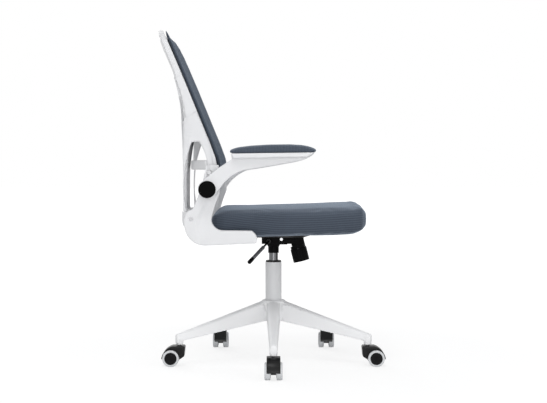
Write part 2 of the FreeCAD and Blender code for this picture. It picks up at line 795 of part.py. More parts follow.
# Seat: a dished pan on the box's plate and a crowned cushion on the pan's sloping top
def rounded_quad(sketch, left, right, low, high, corner):
    """A four-sided outline with round corners; low and high each give a formula at the left and at the right."""
    near = "0.29 * " + corner
    return outline(
        sketch,
        ("%s + %s" % (left, corner), low[0]),
        ("%s - %s" % (right, corner), low[1]),
        (right, "%s + %s" % (low[1], corner), "%s - %s" % (right, near), "%s + %s" % (low[1], near)),
        (right, "%s - %s" % (high[1], corner)),
        ("%s - %s" % (right, corner), high[1], "%s - %s" % (right, near), "%s - %s" % (high[1], near)),
        ("%s + %s" % (left, corner), high[0]),
        (left, "%s - %s" % (high[0], corner), "%s + %s" % (left, near), "%s - %s" % (high[0], near)),
        (left, "%s + %s" % (low[0], corner)),
        ("%s + %s" % (left, corner), low[0], "%s + %s" % (left, near), "%s + %s" % (low[0], near)),
    )


def seat_pan():
    body = new_body("seat_pan")
    floor = sketch_on(body, "XY_Plane", lift="plate_bottom + plate_thickness")
    rounded_quad(
        floor, "pan_floor_rear", "pan_floor_front",
        ["-pan_floor_half_width"] * 2, ["pan_floor_half_width"] * 2, "pan_corner",
    )
    rear_half = "(seat_rear_half_width - pan_inset)"
    front_half = "(seat_front_half_width - pan_inset)"
    rim = sketch_on(body, "XY_Plane", lift="seat_base_height", pitch="-seat_pitch")
    rounded_quad(
        rim, "pan_floor_rear - 10", "pan_floor_front + pan_flare",
        ["-" + rear_half, "-" + front_half], [rear_half, front_half], "pan_corner",
    )
    loft(body, [floor, rim], ruled=True)
    holes = sketch_on(body, "XY_Plane", lift="plate_bottom + plate_thickness")
    for x, y in box_bolt_places + foot_bolt_places:
        disc(holes, x, y, "seat_bolt_radius")
    pocket(body, holes, "bolt_bite", backwards=True)
    return body


def seat_section(body, x, half, low, high, crown):
    """One upright section of the cushion: drawn-in sides, and a top that rises to its crown in the middle."""
    bottom = "seat_base_height + (%s) * tan(seat_pitch) + %s" % (x, low)
    top = "seat_edge_height + (%s) * tan(seat_top_pitch) - %s" % (x, high)
    middle = "((%s) + (%s)) / 2" % (bottom, top)
    foot = "(%s) - seat_draw" % half
    shoulder = "(%s) - 0.8 * seat_draw" % half
    return outline(
        sketch_on(body, "YZ_Plane", lift=x),
        ("-(%s)" % foot, bottom), (foot, bottom),
        (shoulder, top, half, middle),
        ("-(%s)" % shoulder, top, "0", "%s + %s" % (top, crown)),
        ("-(%s)" % foot, bottom, "-(%s)" % half, middle),
    )


def seat_cushion():
    body = new_body("seat_cushion")
    rear, front = "seat_rear_half_width", "seat_front_half_width"
    stations = [
        ("seat_rear", rear + " - 30", "22", "12", "0.4 * seat_crown"),
        ("seat_rear + 4", rear + " - 18", "12", "6", "0.6 * seat_crown"),
        ("seat_rear + 14", rear + " - 7", "4", "2", "0.9 * seat_crown"),
        ("seat_rear + 40", rear, "0", "0", "seat_crown"),
        ("seat_waist", rear, "0", "0", "seat_crown"),
        ("seat_waist + 90", front, "0", "0", "seat_crown"),
        ("seat_front - 80", front, "0", "0", "seat_crown"),
        ("seat_front - 45", front + " - 9", "2", "3", "0.95 * seat_crown"),
        ("seat_front - 20", front + " - 26", "8", "10", "0.75 * seat_crown"),
        ("seat_front - 6", front + " - 56", "18", "21", "0.5 * seat_crown"),
        ("seat_front", front + " - 110", "30", "33", "0.3 * seat_crown"),
    ]
    loft(body, [seat_section(body, *station) for station in stations], ruled=True)
    return body


# Side pieces: sign -1 is the sitter's right at -Y, sign 1 the left
def side_lift(sign, near, thickness):
    """The lift of a sketch whose pad spans from near to near + thickness on one side of the mid-plane."""
    return near if sign < 0 else "-(%s + %s)" % (near, thickness)


def side_pad(body, sign, near, thickness, *profile):
    return pad(body, outline(sketch_on(body, "XZ_Plane", lift=side_lift(sign, near, thickness)), *profile), thickness)


def side_hole(body, sign, near, depth, x, z, radius):
    return pocket(body, disc(sketch_on(body, "XZ_Plane", lift=side_lift(sign, near, depth)), x, z, radius), depth,
                  backwards=True)


screw_places = (("upper_screw_x", "upper_screw_height"), ("lower_screw_x", "lower_screw_height"))


def side_bracket(label, sign):
    body = new_body(label)
    side_pad(
        body, sign, "bracket_inner", "bracket_thickness",
        ("bracket_head_rear", "bracket_head_top"), ("bracket_head_front", "bracket_head_top"),
        ("bracket_head_front + 3", "arm_pivot_height - 11"),
        ("bracket_head_front - 21", "elbow_top + 35", "bracket_head_front - 9", "arm_pivot_height - 43"),
        ("bracket_head_front + 12", "elbow_top", "bracket_head_front - 13", "elbow_top + 11"),
        ("bracket_tip - 17", "elbow_top - 1"),
        ("bracket_tip", "bracket_floor + 11", "bracket_tip - 4.5", "elbow_top - 13"),
        ("bracket_tip - 3", "bracket_floor"),
        ("bracket_head_rear - 6", "bracket_floor - 6.5"),
        ("bracket_rear", "bracket_floor + 48", "bracket_rear + 15", "bracket_floor + 13"),
        ("bracket_rear + 12", "bracket_floor + 94", "bracket_rear - 0.5", "bracket_floor + 75"),
        ("bracket_rear + 24", "bracket_floor + 99"),
        ("bracket_head_rear", "bracket_head_top", "bracket_rear + 46", "arm_pivot_height + 1"),
    )
    foot_floor = "plate_bottom + plate_thickness - foot_thickness"
    inner, outer = "%d * foot_inner" % sign, "%d * (bracket_inner + 1)" % sign
    foot = outline(
        sketch_on(body, "XY_Plane", lift=foot_floor),
        ("foot_rear", outer), ("foot_front", outer), ("foot_front - 12", inner), ("foot_rear + 12", inner),
    )
    pad(body, foot, "foot_thickness")
    holes = sketch_on(body, "XY_Plane", lift=foot_floor)
    for x, y in foot_bolt_places[(sign + 1) // 2::2]:
        disc(holes, x, y, "seat_bolt_radius")
    pocket(body, holes, "foot_thickness", backwards=True)
    side_hole(body, sign, "bracket_inner", "bracket_thickness", "arm_pivot_x", "arm_pivot_height", "arm_pin_radius")
    for x, z in screw_places:
        side_hole(body, sign, "bracket_inner", "bracket_thickness", x, z, "screw_radius")
        side_hole(body, sign, "bracket_inner + bracket_thickness - screw_head_depth", "screw_head_depth", x, z,
                  "screw_head_radius")
    return body


# Back: mesh panel and ring frame follow one line in side view, concave in plan
def back_line(height):
    """X of the panel's front side edge at a height: two straight runs blended at the lumbar nose."""
    rise = "(%s - lumbar_height)" % height
    bend = "(sqrt(%s ^ 2 + lumbar_blend ^ 2) - lumbar_blend)" % rise
    return "(lumbar_x - (upper_lean + lower_lean) / 2 * %s - (upper_lean - lower_lean) / 2 * %s)" % (bend, rise)


def crescent(body, height, half, slim, set_back, depth, front_hollow, rear_hollow):
    """A level section of the back, set back from its front line; slim thins and flattens it towards the top."""
    share = "((%s) / back_half_width) ^ 2" % half
    front_bow = "(%s) * %s" % (front_hollow, slim)
    rear_bow = "(%s) * %s" % (rear_hollow, slim)
    front = "%s - (%s) - %s * (1 - %s)" % (back_line(height), set_back, front_bow, share)
    rear = "%s - (%s) - (%s) * %s - %s * (1 - %s)" % (back_line(height), set_back, depth, slim, rear_bow, share)
    return outline(
        sketch_on(body, "XY_Plane", lift=height),
        (front, "-(%s)" % half),
        (front, half, "%s - %s * %s" % (front, front_bow, share), "0"),
        (rear, half),
        (rear, "-(%s)" % half, "%s - %s * %s" % (rear, rear_bow, share), "0"),
    )


def back_stations(bottom, inset):
    """Heights, half widths and slimness of the sections, drawn in at the foot and rounded at the top."""
    half = "back_half_width - %s" % inset
    foot = "(%s + %s)" % (bottom, inset)
    below = [("%s + %s * (lumbar_height - %s)" % (foot, share, foot), "%s - %d" % (half, draw), 1)
             for share, draw in ((0, 22), (0.3, 6), (0.65, 0))]
    above = [("lumbar_height + %d" % rise, half, 1) for rise in (0, 20, 70)]
    return below + above + [
        ("back_top - 150", half, 1),
        ("back_top - 70 - %s" % inset, half + " - 6", 0.95),
        ("back_top - 32 - %s" % inset, half + " - 18", 0.88),
        ("back_top - 12 - %s" % inset, half + " - 36", 0.78),
        ("back_top - %s" % inset, half + " - 66", 0.62),
    ]


def back_mesh():
    body = new_body("back_mesh")
    sections = [
        crescent(body, height, half, slim, "0", "panel_depth", "panel_hollow", "frame_hollow")
        for height, half, slim in back_stations("panel_bottom", "0")
    ]
    loft(body, sections, ruled=True)
    return body


def back_frame():
    body = new_body("back_frame")
    gap = "panel_depth + seating_gap"
    sections = [
        crescent(body, height, half, slim, gap, "frame_depth", "frame_hollow", "frame_hollow")
        for height, half, slim in back_stations("back_bottom", "2")
    ]
    loft(body, sections, ruled=True)
    opening_half = "(back_half_width - ring_width)"
    window = rounded_quad(
        sketch_on(body, "YZ_Plane"), "-" + opening_half, opening_half,
        ["ring_opening_bottom"] * 2, ["ring_opening_top"] * 2, "ring_corner",
    )
    pocket(body, window, "2 * back_top", both_ways=True)
    rear = "fin_rear_x"

    def front_at(height):
        return "%s - panel_depth - fin_set_back" % back_line(height)

    for sign in (-1, 1):
        side_pad(
            body, sign, "fin_inner", "bracket_inner - fin_inner",
            (front_at("fin_top"), "fin_top"),
            (front_at("rail_foot"), "rail_foot", front_at("fin_top - 90"), "fin_top - 90"),
            ("bracket_head_rear + 2", "rail_foot"),
            ("fin_apex_x", "fin_apex_height", "bracket_head_rear - 8", "fin_apex_height - 28"),
            ("fin_apex_x - 22", "fin_apex_height - 1"),
            ("%s + rail_width" % rear, "beam_top", "%s + rail_width - 1" % rear, "fin_apex_height - 62"),
            (rear, "beam_top"),
            (front_at("fin_top"), "fin_top", "%s + 1" % rear, "fin_apex_height - 70"),
        )
        for x, z in screw_places[:1]:
            side_hole(body, sign, "fin_inner", "bracket_inner - fin_inner", x, z, "screw_radius")
    return body


def rear_spine(ring):
    """A mast on the lower crossbeam that forks like a Y; its two arms seat on the rear of the ring's side rails."""
    body = doc.addObject("PartDesign::Body", "SpineBlank")
    front = "spine_rear + spine_depth"
    profile = outline(
        sketch_on(body, "XZ_Plane"),
        ("spine_rear", "beam_bottom"), (front, "beam_bottom"), (front, "rail_foot"),
        ("spine_rear + 40", "fin_top - 15", "spine_rear + 22", "fin_apex_height - 5"),
        ("spine_rear - 3", "spine_top"), ("spine_rear - 16", "spine_top"),
        ("spine_rear", "fin_top - 30", "spine_rear - 1", "fin_top + 40"),
    )
    pad(body, profile, "2 * spine_reach", both_ways=True)
    through = "2 * back_top"
    for sign in (-1, 1):
        flare = outline(
            sketch_on(body, "YZ_Plane"),
            ("%d * spine_half_width" % sign, "beam_bottom - 1"),
            ("%d * spine_half_width" % sign, "rail_foot + 30"),
            ("%d * spine_reach" % sign, "fin_top + 40",
             "%d * (spine_half_width + spine_reach) * 0.44" % sign, "fin_apex_height + 43"),
            ("%d * 2 * spine_reach" % sign, "fin_top + 40"),
            ("%d * 2 * spine_reach" % sign, "beam_bottom - 1"),
        )
        pocket(body, flare, through, both_ways=True)
    fork = outline(
        sketch_on(body, "YZ_Plane"),
        ("-spine_reach + 40", "spine_top + 1"),
        ("spine_reach - 40", "spine_top + 1", "0", "spine_fork_height"),
    )
    pocket(body, fork, through, both_ways=True)
    beam = outline(
        sketch_on(body, "XZ_Plane"),
        ("spine_rear", "beam_top"), ("spine_rear", "beam_bottom + 10"),
        ("spine_rear + 10", "beam_bottom", "spine_rear + 2.9", "beam_bottom + 2.9"),
        ("spine_rear + beam_depth", "beam_bottom"), ("spine_rear + beam_depth", "beam_top"),
    )
    pad(body, beam, "2 * bracket_inner", both_ways=True)
    seated = doc.addObject("Part::Cut", "rear_spine")
    seated.Base = body
    seated.Tool = ring
    return settle(seated, "rear_spine")


def lumbar_bar():
    body = new_body("lumbar_bar")
    front = "lumbar_bar_end + lumbar_bar_depth"
    half = "fin_inner"
    bow = outline(
        sketch_on(body, "XY_Plane", lift="lumbar_bar_bottom"),
        ("lumbar_bar_end", "-" + half),
        ("lumbar_bar_end", half, "lumbar_bar_end - lumbar_bow", "0"),
        (front, half),
        (front, "-" + half, "%s - lumbar_bow" % front, "0"),
    )
    pad(body, bow, "lumbar_bar_height")
    return body


def back_screws():
    screws = []
    for sign in (-1, 1):
        for (x, z), inner in zip(screw_places, ("fin_inner", "bracket_inner")):
            shank = primitive("Cylinder", "ScrewShank", Radius="screw_radius",
                              Height="bracket_inner + bracket_thickness - screw_head_depth - %s" % inner)
            along(shank, (0, sign, 0), x=x, y="%d * %s" % (sign, inner), z=z)
            head = primitive("Cylinder", "ScrewHead", Radius="screw_head_radius", Height="screw_head_depth - 1")
            along(head, (0, sign, 0), x=x, z=z,
                  y="%d * (bracket_inner + bracket_thickness - screw_head_depth)" % sign)
            screw = doc.addObject("Part::MultiFuse", "Screw")
            screw.Shapes = [shank, head]
            screws.append(screw)
    joined("Compound", "back_screws", screws)


# Arms: each flips up on a capped pin in its bracket and carries a crowned pad
def arm(label, sign):
    body = new_body(label)
    near = "bracket_inner + bracket_thickness + moving_gap"
    rear, tip = "arm_pad_rear + 3", "arm_pad_front - 3"
    side_pad(
        body, sign, near, "arm_thickness",
        (rear, "arm_top - 3"), (tip, "arm_top"),
        ("arm_pivot_x + 266", "arm_pivot_height + 82", "arm_pivot_x + 290", "arm_pivot_height + 92"),
        ("arm_pivot_x + 102", "arm_pivot_height + 54", "arm_pivot_x + 189", "arm_pivot_height + 68"),
        ("arm_pivot_x + 41", "arm_pivot_height + 10", "arm_pivot_x + 70", "arm_pivot_height + 38"),
        ("arm_pivot_x + 18", "arm_pivot_height - 20"),
        ("arm_pivot_x - 18", "arm_pivot_height + 20"),
        ("arm_pivot_x + 71", "arm_pivot_height + 86", "arm_pivot_x + 28", "arm_pivot_height + 58"),
    )
    pad(body, disc(sketch_on(body, "XZ_Plane", lift=side_lift(sign, near, "arm_thickness")),
                   "arm_pivot_x", "arm_pivot_height", "arm_boss_radius"), "arm_thickness")
    side_pad(
        body, sign, "arm_centre - arm_tray_half", "2 * arm_tray_half",
        (rear, "arm_top - 3"), (tip, "arm_top"), ("%s - 24" % tip, "arm_top - 13"),
        ("%s + 9" % rear, "arm_top - 17"),
    )
    side_hole(body, sign, near, "arm_thickness", "arm_pivot_x", "arm_pivot_height", "arm_pin_radius + running_fit")
    return body


def arm_pin(label, sign):
    face = "bracket_inner + bracket_thickness + moving_gap + arm_thickness + moving_gap"
    pin = primitive("Cylinder", "ArmPin", Radius="arm_pin_radius", Height="%s - bracket_inner - 4" % face)
    along(pin, (0, sign, 0), x="arm_pivot_x", y="%d * (bracket_inner + 4)" % sign, z="arm_pivot_height")
    cap = primitive("Cylinder", "PivotCap", Radius="pivot_cap_radius", Height="pivot_cap_height")
    along(cap, (0, sign, 0), x="arm_pivot_x", y="%d * (%s)" % (sign, face), z="arm_pivot_height")
    joined("MultiFuse", label, [pin, cap])


def pad_section(body, sign, x, half, low, crown):
    """One upright section of an arm pad: bulging sides, and a top that rises to its crown in the middle."""
    centre = "%d * arm_centre" % sign
    base = "(arm_top - 3 + 3 * (%s - arm_pad_rear) / (arm_pad_front - arm_pad_rear) + seating_gap)" % x
    rise = "(0.72 * arm_pad_height - %s)" % low
    shoulder = "%s + %s" % (base, rise)
    bulge = "%s + 0.45 * %s" % (base, rise)
    left, right = "%s - (%s)" % (centre, half), "%s + %s" % (centre, half)
    return outline(
        sketch_on(body, "YZ_Plane", lift=x),
        (left + " + 5", base),
        (right + " - 5", base),
        (right + " - 6", shoulder, right, bulge),
        (left + " + 6", shoulder, centre, "%s + %s" % (shoulder, crown)),
        (left + " + 5", base, left, bulge),
    )


def arm_pad(label, sign):
    body = new_body(label)
    stations = [
        ("arm_pad_rear", "arm_pad_half - 14", "11", "3"),
        ("arm_pad_rear + 7", "arm_pad_half - 5", "8", "4"),
        ("arm_pad_rear + 25", "arm_pad_half - 1", "5", "5.5"),
        ("arm_pad_rear + 60", "arm_pad_half", "2", "6.5"),
        ("arm_pad_rear + 110", "arm_pad_half", "0", "7"),
        ("arm_pad_front - 75", "arm_pad_half", "0", "7"),
        ("arm_pad_front - 40", "arm_pad_half", "2", "6.5"),
        ("arm_pad_front - 18", "arm_pad_half - 3", "5", "5"),
        ("arm_pad_front - 6", "arm_pad_half - 9", "8", "4"),
        ("arm_pad_front", "arm_pad_half - 18", "11", "3"),
    ]
    loft(body, [pad_section(body, sign, *station) for station in stations], ruled=True)


def seat_bolts():
    bolts = [seat_bolt(x, y, "plate_thickness") for x, y in box_bolt_places]
    bolts += [seat_bolt(x, y, "foot_thickness") for x, y in foot_bolt_places]
    joined("Compound", "seat_bolts", bolts)


def seat_bolt(x, y, grip):
    """A bolt from under a plate or foot of thickness grip up into the pan."""
    under = "plate_bottom + plate_thickness - %s" % grip
    shank = primitive("Cylinder", "BoltShank", Radius="seat_bolt_radius", Height="%s + bolt_bite" % grip)
    along(shank, (0, 0, 1), x=x, y=y, z=under)
    head = primitive("Cylinder", "BoltHead", Radius="seat_bolt_radius + 3", Height="bolt_head_height")
    along(head, (0, 0, -1), x=x, y=y, z=under)
    bolt = doc.addObject("Part::MultiFuse", "Bolt")
    bolt.Shapes = [shank, head]
    return bolt


leg_angles = ["-90 + %d * 360 / %d" % (step, leg_count) for step in (0, -1, 1, -2, 2)]
trails = (-90, 180, 0, 90, 90)
base_star()
for number, trail in enumerate(trails, start=1):
    castor(number, leg_angles[number - 1], str(trail))
gas_lift()
tilt_carrier()
tilt_box()
tilt_details()
lever()
seat_pan()
seat_cushion()
seat_bolts()
ring = back_frame()
rear_spine(ring)
lumbar_bar()
back_mesh()
back_screws()
for side, sign in (("right", -1), ("left", 1)):
    side_bracket("bracket_" + side, sign)
    arm("arm_" + side, sign)
    arm_pad("arm_pad_" + side, sign)
    arm_pin("arm_pin_" + side, sign)

doc.recompute()
failed = [thing.Label for thing in doc.Objects if {"Invalid", "Error"} & set(thing.State)]
failed += [node.Label for node in nodes if node.Shape.isNull() or not node.Shape.isValid()]
if failed:
    raise SystemExit("not built: " + ", ".join(failed))
os.makedirs("parts", exist_ok=True)
for node in nodes:
    node.Shape.exportStep("parts/%s.step" % node.Label)
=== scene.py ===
import json
import math

import bpy
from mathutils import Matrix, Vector


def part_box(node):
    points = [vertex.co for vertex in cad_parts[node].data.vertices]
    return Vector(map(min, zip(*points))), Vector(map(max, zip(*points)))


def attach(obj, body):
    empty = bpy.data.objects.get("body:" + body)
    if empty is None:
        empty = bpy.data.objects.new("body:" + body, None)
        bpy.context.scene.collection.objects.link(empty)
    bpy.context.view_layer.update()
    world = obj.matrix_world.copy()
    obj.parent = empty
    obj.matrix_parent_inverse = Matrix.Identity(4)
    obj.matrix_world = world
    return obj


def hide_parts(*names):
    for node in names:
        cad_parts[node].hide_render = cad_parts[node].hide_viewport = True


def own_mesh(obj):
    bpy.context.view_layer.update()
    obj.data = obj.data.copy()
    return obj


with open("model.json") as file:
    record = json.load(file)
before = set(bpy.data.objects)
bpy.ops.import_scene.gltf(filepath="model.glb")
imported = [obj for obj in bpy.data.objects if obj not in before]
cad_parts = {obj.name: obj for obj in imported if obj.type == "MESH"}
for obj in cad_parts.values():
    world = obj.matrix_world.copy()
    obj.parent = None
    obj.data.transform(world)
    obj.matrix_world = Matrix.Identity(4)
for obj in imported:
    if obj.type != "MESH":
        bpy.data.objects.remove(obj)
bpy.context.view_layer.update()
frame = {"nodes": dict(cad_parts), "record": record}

nodes = frame["nodes"]
print("frame loaded:", len(nodes), "nodes")


class Wired:  # a socket that takes part in sums
    def __init__(self, graph, socket):
        self.graph = graph
        self.socket = socket

    def math(self, operation, first, second=0.0):
        return self.graph.node("ShaderNodeMath", {"operation": operation}, {0: first, 1: second})

    def __add__(self, other):
        return self.math("ADD", self, other)

    def __radd__(self, other):
        return self.math("ADD", other, self)

    def __sub__(self, other):
        return self.math("SUBTRACT", self, other)

    def __rsub__(self, other):
        return self.math("SUBTRACT", other, self)

    def __mul__(self, other):
        return self.math("MULTIPLY", self, other)

    def __rmul__(self, other):
        return self.math("MULTIPLY", other, self)

    def __pow__(self, other):
        return self.math("POWER", self, other)

    def wave(self, spacing):  # 0 to 1 and back once in each spacing
        return self.math("SINE", self * (2 * math.pi / spacing)) * 0.5 + 0.5

    def between(self, low, high):  # eases from 0 at low to 1 at high
        return self.graph.node("ShaderNodeMapRange", {"interpolation_type": "SMOOTHSTEP"},
                               {"Value": self, "From Min": low, "From Max": high})


class Graph:  # a node tree that takes nodes one by one
    def __init__(self, tree):
        self.tree = tree

    def plug(self, socket, value):
        if isinstance(value, Wired):
            self.tree.links.new(value.socket, socket)
        else:
            socket.default_value = value

    def node(self, kind, settings=None, sockets=None, out=0):
        made = self.tree.nodes.new(kind)
        for name, value in (settings or {}).items():
            setattr(made, name, value)
        for name, value in (sockets or {}).items():
            self.plug(made.inputs[name], value)
        return Wired(self, made.outputs[out])

    def seenDirectly(self):  # 1 for camera, mirror and glass rays
        camera, mirror, glass = [self.node("ShaderNodeLightPath", out="Is %s Ray" % kind)
                                 for kind in ("Camera", "Glossy", "Transmission")]
        return camera + mirror + glass


class Finish(Graph):  # one material on a Principled shader
    def __init__(self, name, **constants):
        self.material = bpy.data.materials.new(name)
        self.material.use_nodes = True
        super().__init__(self.material.node_tree)
        self.shader = self.tree.nodes["Principled BSDF"]
        for socket, value in constants.items():
            self.shader.inputs[socket.replace("_", " ")].default_value = value

    def give(self, socket, value):
        self.plug(self.shader.inputs[socket], value)

    def place(self):
        return self.node("ShaderNodeTexCoord", out="Object")

    def axes(self, names):
        spot = self.place()
        return [self.node("ShaderNodeSeparateXYZ", sockets={0: spot}, out=axis) for axis in names]

    def noise(self, scale, detail, stretch=(1, 1, 1)):
        spot = self.node("ShaderNodeMapping", sockets={"Vector": self.place(), "Scale": stretch})
        return self.node("ShaderNodeTexNoise", sockets={"Vector": spot, "Scale": scale, "Detail": detail})

    def attribute(self, name):
        return self.node("ShaderNodeAttribute", {"attribute_name": name}, out="Fac")

    def tint(self, factor, dark, light):
        sockets = {0: factor, 6: (*dark, 1), 7: (*light, 1)}
        return self.node("ShaderNodeMix", {"data_type": "RGBA"}, sockets, out=2)

    def relief(self, height, strength, distance):
        sockets = {"Height": height, "Strength": strength, "Distance": distance}
        self.give("Normal", self.node("ShaderNodeBump", sockets=sockets))


# Plastics and paint: broad clouds in the colour, fine grain in the gloss
plastic = {"broad": 9, "broadDetail": 3, "fineDetail": 2, "glossSpan": 0.1, "relief": 0.1, "depth": 0.0002}


def satinPlastic(name, dark, light, gloss, grain, shine):
    finish = Finish(name, Specular_IOR_Level=shine)
    broad = finish.noise(plastic["broad"], plastic["broadDetail"])
    fine = finish.noise(grain, plastic["fineDetail"])
    finish.give("Base Color", finish.tint(broad, dark, light))
    finish.give("Roughness", gloss + plastic["glossSpan"] * fine)
    finish.relief(broad, plastic["relief"], plastic["depth"])
    return finish.material


# Steel, brushed along z
metal = {"brush": 700, "detail": 2, "stretch": (1, 1, 0.03), "gloss": 0.1, "glossSpan": 0.1, "shine": 0.5}


def brightSteel(name, dark, light):
    finish = Finish(name, Metallic=1.0, Specular_IOR_Level=metal["shine"])
    brushed = finish.noise(metal["brush"], metal["detail"], metal["stretch"])
    finish.give("Base Color", finish.tint(brushed, dark, light))
    finish.give("Roughness", metal["gloss"] + metal["glossSpan"] * brushed)
    return finish.material


# Fabrics: a pattern of threads with hairs and slubs over it
fabric = {"deep": (0.028, 0.037, 0.053), "raised": (0.105, 0.126, 0.16),
          "patternTint": 0.5, "threadTint": 0.4, "leastTint": 0.05, "gloss": 0.78, "glossSpan": 0.14,
          "patternRelief": 0.7, "threadRelief": 0.3, "relief": 0.5}
thread = {"hair": 1400, "hairDetail": 3, "hairShare": 0.6, "slub": 260, "slubDetail": 2, "slubShare": 0.4}
sheen = {"Sheen_Roughness": 0.4, "Sheen_Tint": (0.72, 0.84, 1, 1)}


def threadNoise(finish):
    hairs = finish.noise(thread["hair"], thread["hairDetail"]) * thread["hairShare"]
    return hairs + finish.noise(thread["slub"], thread["slubDetail"]) * thread["slubShare"]


def woven(finish, pattern, threads, depth):
    shade = pattern * fabric["patternTint"] + threads * fabric["threadTint"] + fabric["leastTint"]
    height = pattern * fabric["patternRelief"] + threads * fabric["threadRelief"]
    finish.give("Base Color", finish.tint(shade, fabric["deep"], fabric["raised"]))
    finish.give("Roughness", fabric["gloss"] + fabric["glossSpan"] * threads)
    finish.relief(height, fabric["relief"], depth)
    return finish.material


# Dots on the seat's top, and lines on its sides that bow down to the front and the rear. The top is painted lighter
# and the sides darker: painted light and shade on one cloth.
def seatWeave():
    values = {"dot": 0.006, "dotShare": 0.8, "topPaintedLight": 1.1, "line": 0.0064, "lineShareAndSideShade": 0.62, "lineEdge": 1.4,
              "sway": 0.0042, "swayScale": 14, "slope": 0.03, "bend": 0.09, "bendAt": 0.02, "bendSpan": 0.06,
              "depth": 0.001}
    finish = Finish("seatWeave", Specular_IOR_Level=0.2, Sheen_Weight=0.5, **sheen)
    x, y, z = finish.axes("XYZ")
    top = finish.attribute("topFacing")
    dots = x.wave(values["dot"]) * y.wave(values["dot"])
    along = x - values["bendAt"]
    bow = (along * along + values["bendSpan"] ** 2) ** 0.5
    fall = values["slope"] * along - values["bend"] * bow
    sway = finish.noise(values["swayScale"], 1) * values["sway"]
    lines = (z + fall + sway).wave(values["line"]) ** values["lineEdge"]
    # painted light: the top's dots sit on a raised base, and the sides' lines are dimmed as painted shade
    pattern = (dots * values["dotShare"] + values["topPaintedLight"]) * top + lines * (1 - top) * values["lineShareAndSideShade"]
    return woven(finish, pattern, threadNoise(finish), values["depth"])


# Ribs across the arm pads
def ribbedWeave():
    values = {"rib": 0.0042, "ribShare": 0.85, "cross": 0.0021, "crossShare": 0.15,
              "wander": 0.0008, "wanderScale": 30, "depth": 0.0014}
    finish = Finish("ribbedWeave", Specular_IOR_Level=0.2, Sheen_Weight=0.4, **sheen)
    x, y, z = finish.axes("XYZ")
    ribs = (x + finish.noise(values["wanderScale"], 1) * values["wander"]).wave(values["rib"])
    cross = (y + z).wave(values["cross"])
    pattern = ribs * values["ribShare"] + cross * values["crossShare"]
    return woven(finish, pattern, threadNoise(finish), values["depth"])


# A knit of courses and wales on the panel, with painted shade at its rim where it turns in to the ring
def panelKnit():
    values = {"course": 0.003, "wale": 0.0036, "zigzag": 0.0012, "loopShare": 0.7, "loopBase": 0.38,
              "rimShadeShare": 0.85, "depth": 0.0009}
    finish = Finish("panelKnit", Specular_IOR_Level=0.12, Sheen_Weight=0.2, **sheen)
    y, z = finish.axes("YZ")
    wales = y.wave(values["wale"])
    courses = (z + wales * values["zigzag"]).wave(values["course"])
    # painted shade where the panel turns in to the ring darkens the knit and its threads
    clear = 1 - values["rimShadeShare"] * finish.attribute("rimShade")
    pattern = (wales * courses * values["loopShare"] + values["loopBase"]) * clear
    return woven(finish, pattern, threadNoise(finish) * clear, values["depth"])


plastics = {
    "white": {"name": "satinWhite", "dark": (0.715, 0.718, 0.728), "light": (0.75, 0.753, 0.763),
              "gloss": 0.38, "grain": 1500, "shine": 0.35},
    # the base star's white is brighter than satinWhite: partly its own nylon, partly painted light for the shade
    # under the seat
    "nylonWithPaintedLight": {"name": "whiteNylonPaintedLight", "dark": (0.86, 0.862, 0.868), "light": (0.9, 0.902, 0.906),
              "gloss": 0.4, "grain": 1200, "shine": 0.35},
    "tube": {"name": "paintedTube", "dark": (0.69, 0.693, 0.7), "light": (0.73, 0.733, 0.74),
             "gloss": 0.34, "grain": 1800, "shine": 0.4},
    "black": {"name": "satinBlack", "dark": (0.003, 0.003, 0.0033), "light": (0.0048, 0.0048, 0.0052),
              "gloss": 0.3, "grain": 1300, "shine": 0.2},
    "mechanism": {"name": "powderBlack", "dark": (0.0025, 0.0025, 0.0027), "light": (0.004, 0.004, 0.0044),
                  "gloss": 0.44, "grain": 700, "shine": 0.05},
    "cap": {"name": "textureBlack", "dark": (0.0012, 0.0012, 0.0013), "light": (0.0032, 0.0032, 0.0034),
            "gloss": 0.55, "grain": 500, "shine": 0.04},
    "hub": {"name": "hubBlack", "dark": (0.007, 0.007, 0.0074), "light": (0.011, 0.011, 0.0116),
            "gloss": 0.45, "grain": 900, "shine": 0.08},
    "grey": {"name": "greyGrip", "dark": (0.1, 0.103, 0.109), "light": (0.15, 0.154, 0.162),
             "gloss": 0.45, "grain": 1200, "shine": 0.3},
    "tyre": {"name": "lightTyre", "dark": (0.6, 0.61, 0.625), "light": (0.68, 0.69, 0.7),
             "gloss": 0.5, "grain": 900, "shine": 0.3},
}
metals = {
    "steel": {"name": "brightSteel", "dark": (0.1, 0.102, 0.106), "light": (0.155, 0.157, 0.162)},
    "zinc": {"name": "zincSteel", "dark": (0.2, 0.202, 0.207), "light": (0.27, 0.272, 0.278)},
}
finishes = {key: satinPlastic(**values) for key, values in plastics.items()}
finishes.update({key: brightSteel(**values) for key, values in metals.items()})
finishes.update({"seat": seatWeave(), "pad": ribbedWeave(), "panel": panelKnit()})
print("finishes made:", len(finishes))


def clearSelection():
    bpy.ops.object.select_all(action="DESELECT")


def pick(piece):
    clearSelection()
    piece.select_set(True)
    bpy.context.view_layer.objects.active = piece
    return piece


def dress(piece, finish):
    piece.data.materials.clear()
    piece.data.materials.append(finishes[finish])


def applied(piece, kind, **settings):
    pick(piece)
    modifier = piece.modifiers.new(kind.lower(), kind)
    for name, value in settings.items():
        setattr(modifier, name, value)
    bpy.ops.object.modifier_apply(modifier=modifier.name)


mergeDistance = 0.00002


def copyOfNode(node, name):  # a merged copy of a CAD node's mesh
    piece = bpy.data.objects.new(name, nodes[node].data.copy())
    bpy.context.scene.collection.objects.link(piece)
    pick(piece)
    bpy.ops.object.mode_set(mode="EDIT")
    bpy.ops.mesh.select_all(action="SELECT")
    bpy.ops.mesh.remove_doubles(threshold=mergeDistance)
    bpy.ops.object.mode_set(mode="OBJECT")
    return piece


